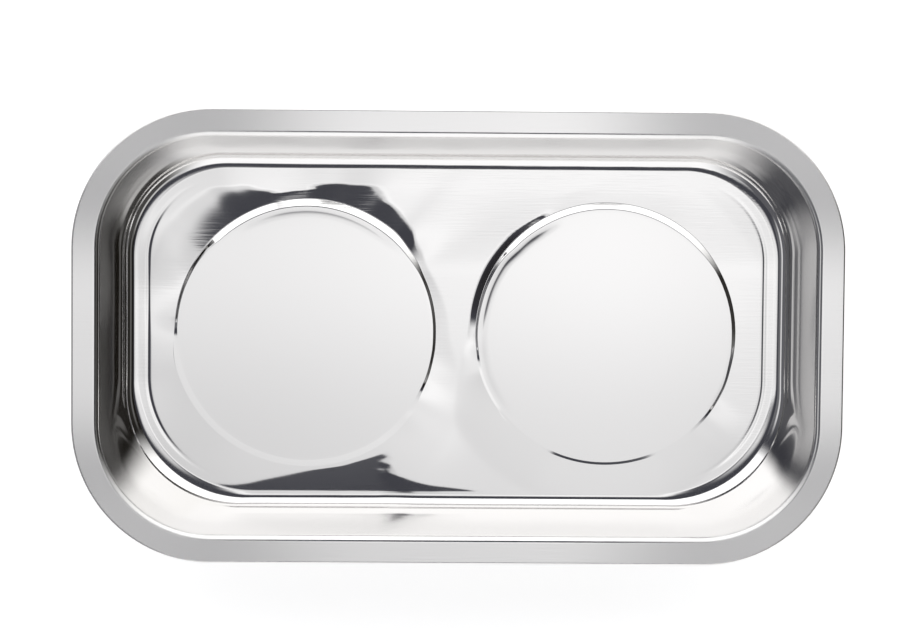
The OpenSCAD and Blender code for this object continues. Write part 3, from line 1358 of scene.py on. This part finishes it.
@dataclass
class MagnetFoot:
    """One boot with the magnet and the adhesive that it covers.

    Attributes:
        side: The foot's side.
        edge_radius: Radius of the edge round the sole.
        lip_edge: Radius of the edges of the lip's upper face.
        wall: Thickness of the wall at its top.
        sole: Thickness of the sole.
        lip_thickness: Thickness of the lip over the magnet.
        lip_reach: How far the lip reaches over the cavity.
        lean: Lean of the boot's side.
        turn_steps: Points round the boot.
        arc_steps: Points on each rounded edge.
        longest: Longest flat of the section that is left undivided.
    """

    side: Side
    edge_radius: float = 1.6 * MM
    lip_edge: float = 0.3 * MM
    wall: float = 2.6 * MM
    sole: float = 2 * MM
    lip_thickness: float = 1 * MM
    lip_reach: float = 3 * MM
    lean: float = math.radians(2)
    turn_steps: int = 128
    arc_steps: int = 8
    longest: float = 8 * MM

    def __post_init__(self) -> None:
        """Reads the boot's place from the frame."""
        self.low, self.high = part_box(f"{self.side.word}_boot")

    @property
    def radius(self) -> float:
        """Radius of the boot at its top."""
        return (self.high.x - self.low.x) / 2

    def section(self) -> Section:
        """The boot's section from under its middle round to the inside of its sole.

        Returns:
            The section, measured from the boot's widest circle.
        """
        height = self.high.z
        narrowing = height * math.tan(self.lean)
        cavity = -narrowing - self.wall
        lip = cavity - self.lip_reach
        under_lip = height - self.lip_thickness
        return Section([
            Corner(-self.radius, 0),
            Corner(-narrowing, 0, self.edge_radius),
            Corner(0, height, self.lip_edge),
            Corner(lip, height, self.lip_edge),
            Corner(lip, under_lip),
            Corner(cavity, under_lip),
            Corner(cavity, self.sole),
            Corner(-self.radius, self.sole),
        ], longest=self.longest)

    def build(self, finish: Material) -> Object:
        """Builds the boot.

        Args:
            finish: The rubber's material.

        Returns:
            The finished piece.
        """
        middle_x = (self.low.x + self.high.x) / 2
        turn = 2 * math.pi / self.turn_steps
        shape = bmesh.new()
        ring = [shape.verts.new((middle_x + self.radius * math.cos(turn * i),
                                 self.radius * math.sin(turn * i), 0)) for i in range(self.turn_steps)]
        for start, end in zip(ring, ring[1:] + ring[:1]):
            shape.edges.new((start, end))
        mesh = bpy.data.meshes.new(f"{self.side.word}_boot_moulding")
        shape.to_mesh(mesh)
        shape.free()
        piece = link_object(mesh.name, mesh)
        SectionSweep(f"{self.side.word} boot", self.section(), arc_steps=self.arc_steps).apply(piece, finish)
        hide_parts(f"{self.side.word}_boot")
        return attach(piece, BODY)

    def dress(self, ferrite: Material, adhesive: Material) -> None:
        """Gives the magnet and its adhesive their materials.

        Args:
            ferrite: The magnet's material.
            adhesive: The adhesive's material.
        """
        for part, material, slot in (("magnet", ferrite, "ferrite"), ("bond", adhesive, "adhesive")):
            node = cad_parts[f"{self.side.word}_{part}"]
            node.data.materials.clear()
            node.data.materials.append(material)


class Angle(Enum):
    """Angles of a direction in the room, seen from the tray."""

    ACROSS = "from straight up, toward the right end"
    ALONG = "from straight up, toward the far side"
    FROM_TOP = "from straight up, toward any side"
    ROUND_FAR = "round the tray from the far side, toward the right end"
    ROUND_NEAR = "round the tray from the near side, toward the right end"


@dataclass(frozen=True)
class PanelEdge:
    """A soft step in the light of a panel.

    Attributes:
        angle: The angle along which the light changes.
        at: Where the step is, in degrees.
        soft: Half its width, in degrees.
        before: The light below it.
        after: The light above it.
    """

    angle: Angle
    at: float
    soft: float
    before: float
    after: float

    def light(self, tree: NodeTree, angles: dict[Angle, NodeSocket]) -> NodeSocket:
        """Adds the step to the world.

        Args:
            tree: The world's tree.
            angles: The socket of each angle, in radians.

        Returns:
            The light's socket.
        """
        return add_node(tree, "ShaderNodeMapRange", {
            "Value": angles[self.angle], "From Min": math.radians(self.at - self.soft),
            "From Max": math.radians(self.at + self.soft), "To Min": self.before, "To Max": self.after},
            interpolation_type="SMOOTHSTEP").outputs[0]


# The bright panels of the room; the light of each is the product of its edges
PANELS = {
    "overhead": (
        PanelEdge(Angle.ACROSS, -10, 4, 0, 1), PanelEdge(Angle.ACROSS, 16, 3, 1, 0),
        PanelEdge(Angle.ALONG, -11.4, 1.8, 0, 1), PanelEdge(Angle.ALONG, 4.5, 3, 1, 0),
        PanelEdge(Angle.ALONG, -5, 2, 0.91, 1.25), PanelEdge(Angle.ACROSS, 0, 4.5, 0.87, 1.04),
        PanelEdge(Angle.ACROSS, 6.5, 3, 1, 0.86), PanelEdge(Angle.ALONG, -1.6, 0.8, 1, 0.87)),
    "far": (
        PanelEdge(Angle.ROUND_FAR, -58, 6, 0, 1), PanelEdge(Angle.ROUND_FAR, 60, 12, 1, 0),
        PanelEdge(Angle.FROM_TOP, 28.5, 2.5, 0, 1.75)),
    "near": (
        PanelEdge(Angle.ALONG, -28.5, 2.5, 1.28, 0), PanelEdge(Angle.ROUND_NEAR, 22, 16, 1, 0.05),
        PanelEdge(Angle.ROUND_NEAR, -17, 17, 0.05, 1)),
    "left": (
        PanelEdge(Angle.ACROSS, -22, 2.5, 1, 0), PanelEdge(Angle.ACROSS, -41, 4, 0.85, 0.12),
        PanelEdge(Angle.ACROSS, -53, 3, 0.1, 1), PanelEdge(Angle.ROUND_FAR, -115, 10, 0, 1),
        PanelEdge(Angle.ROUND_FAR, -75, 8, 1, 0)),
    "right": (
        PanelEdge(Angle.ACROSS, 41, 3, 0, 0.16), PanelEdge(Angle.ACROSS, 53, 4, 1, 0.1),
        PanelEdge(Angle.ROUND_FAR, 75, 8, 0, 1), PanelEdge(Angle.ROUND_FAR, 115, 10, 1, 0)),
    "beside": (
        PanelEdge(Angle.FROM_TOP, 37, 3, 0, 0.75), PanelEdge(Angle.FROM_TOP, 48, 4, 1, 0),
        PanelEdge(Angle.ROUND_NEAR, 64, 10, 1, 0), PanelEdge(Angle.ROUND_NEAR, -30, 12, 0, 1)),
}


@dataclass
class Studio:
    """The camera above the tray, the white floor and the light round them.

    Attributes:
        camera_offset: Place of the camera from the middle of the rim's plane.
        camera_turn: Turn of the camera about X, Y and Z, in radians.
        lens_mm: Focal length.
        sensor_mm: Width of the sensor.
        floor_size: Length and width of the floor.
        floor_z: Height of the floor.
        paper_tone: The floor's own tone.
        paper_glow: Light that the floor adds where the camera or a reflection sees it.
        haze_edge: Where the bluish haze ends on the right of the room.
        haze: Colour of the haze.
        gloom: Colour of the dim light from everywhere in the room.
    """

    camera_offset: tuple[float, float, float] = (-0.0328, 0.0990, 1.1991)
    camera_turn: tuple[float, float, float] = (-0.07818, -0.02442, 0.00874)
    lens_mm: float = 155.26
    sensor_mm: float = 36.0
    floor_size: float = 12.0
    # The floor lies just under the boots so that the two faces never fight for the same place
    floor_z: float = -0.05 * MM
    paper_tone: str = "cbcbcb"
    paper_glow: float = 0.75
    haze_edge: PanelEdge = PanelEdge(Angle.ACROSS, 24, 8, 1, 0)
    haze: str = "42444d"
    gloom: str = "1d1a16"

    def camera(self, rim_z: float) -> Object:
        """Places the camera.

        Args:
            rim_z: Height of the tray's rim.

        Returns:
            The camera's object.
        """
        lens = bpy.data.cameras.new("camera")
        lens.lens = self.lens_mm
        lens.sensor_width = self.sensor_mm
        eye = bpy.data.objects.new("camera", lens)
        x, y, up = self.camera_offset
        eye.location = (x, y, rim_z + up)
        eye.rotation_euler = self.camera_turn
        bpy.context.scene.collection.objects.link(eye)
        bpy.context.scene.camera = eye
        return eye

    def floor(self) -> Object:
        """Lays the white floor.

        Returns:
            The floor's object.
        """
        half = self.floor_size / 2
        mesh = bpy.data.meshes.new("floor")
        corners = [(-half, -half), (half, -half), (half, half), (-half, half)]
        mesh.from_pydata([(x, y, self.floor_z) for x, y in corners], [], [(0, 1, 2, 3)])
        floor = link_object("floor", mesh)
        material = bpy.data.materials.new("white_paper")
        material.use_nodes = True
        tree = material.node_tree
        tree.nodes.clear()
        path = add_node(tree, "ShaderNodeLightPath")
        seen = add_node(tree, "ShaderNodeMath", {
            0: path.outputs[Ray.CAMERA.value], 1: path.outputs[Ray.GLOSSY.value]}, operation="MAXIMUM")
        glow = add_node(tree, "ShaderNodeMath", {0: seen.outputs[0], 1: self.paper_glow},
                        operation="MULTIPLY")
        paper = add_node(tree, "ShaderNodeBsdfDiffuse", {"Color": linear_colour(self.paper_tone)})
        light = add_node(tree, "ShaderNodeEmission", {"Strength": glow.outputs[0]})
        both = add_node(tree, "ShaderNodeAddShader", {0: paper.outputs[0], 1: light.outputs[0]})
        add_node(tree, "ShaderNodeOutputMaterial", {"Surface": both.outputs[0]})
        mesh.materials.append(material)
        return floor

    @staticmethod
    def _angles(tree: NodeTree) -> dict[Angle, NodeSocket]:
        """Measures a direction of the world by each angle.

        Args:
            tree: The world's tree.

        Returns:
            The socket of each angle, in radians.
        """
        direction = add_node(tree, "ShaderNodeTexCoord").outputs["Generated"]
        x, y, z = add_node(tree, "ShaderNodeSeparateXYZ", {0: direction}).outputs
        level = add_node(tree, "ShaderNodeVectorMath", {0: direction, 1: (1, 1, 0)}, operation="MULTIPLY")
        spread = add_node(tree, "ShaderNodeVectorMath", {0: level.outputs[0]}, operation="LENGTH")
        near = add_node(tree, "ShaderNodeMath", {0: y, 1: -1.0}, operation="MULTIPLY")
        sides = {Angle.ACROSS: (x, z), Angle.ALONG: (y, z), Angle.FROM_TOP: (spread.outputs["Value"], z),
                 Angle.ROUND_FAR: (x, y), Angle.ROUND_NEAR: (x, near.outputs[0])}
        return {angle: add_node(tree, "ShaderNodeMath", {0: side, 1: base}, operation="ARCTAN2").outputs[0]
                for angle, (side, base) in sides.items()}

    def world(self) -> World:
        """Builds the surroundings: a soft light overhead, bright walls along Y and dark gaps along X.

        Returns:
            The scene's world.
        """
        world = bpy.data.worlds.new("studio")
        bpy.context.scene.world = world
        world.use_nodes = True
        tree = world.node_tree
        tree.nodes.clear()
        angles = self._angles(tree)
        total = 0.0
        for edges in PANELS.values():
            panel = edges[0].light(tree, angles)
            for edge in edges[1:]:
                panel = add_node(tree, "ShaderNodeMath", {0: panel, 1: edge.light(tree, angles)},
                                 operation="MULTIPLY").outputs[0]
            total = add_node(tree, "ShaderNodeMath", {0: total, 1: panel}, operation="MAXIMUM").outputs[0]
        for mask, tint in ((self.haze_edge.light(tree, angles), self.haze), (1.0, self.gloom)):
            total = add_node(tree, "ShaderNodeMix", {"Factor": mask, 6: total, 7: linear_colour(tint)},
                             data_type="RGBA", blend_type="ADD").outputs[2]
        lit = add_node(tree, "ShaderNodeBackground", {"Color": total})
        white = add_node(tree, "ShaderNodeBackground", {"Color": (1, 1, 1, 1)})
        path = add_node(tree, "ShaderNodeLightPath")
        mix = add_node(tree, "ShaderNodeMixShader", {
            0: path.outputs[Ray.CAMERA.value], 1: lit.outputs[0], 2: white.outputs[0]})
        add_node(tree, "ShaderNodeOutputWorld", {"Surface": mix.outputs[0]})
        return world


def main() -> None:
    """Builds the tray, its feet and the studio, and reports each piece."""
    logging.basicConfig(level=logging.INFO, format="%(name)s: %(message)s")
    bpy.context.scene.view_settings.view_transform = "Standard"
    tray = TrayShell()
    studio = Studio()
    studio.camera(tray.rim_z)
    studio.floor()
    studio.world()
    rubber = MouldedRubber().material()
    ferrite = SINTERED_FERRITE.material()
    adhesive = CURED_ADHESIVE.material()
    pieces = [tray.build(StainlessSheet(tray.floor_z, tray.rim_z).material())]
    for side in Side:
        foot = MagnetFoot(side)
        pieces.append(foot.build(rubber))
        foot.dress(ferrite, adhesive)
    for piece in pieces:
        LOG.info("%s: %d faces", piece.name, len(piece.data.polygons))


if __name__ == "__main__":
    main()
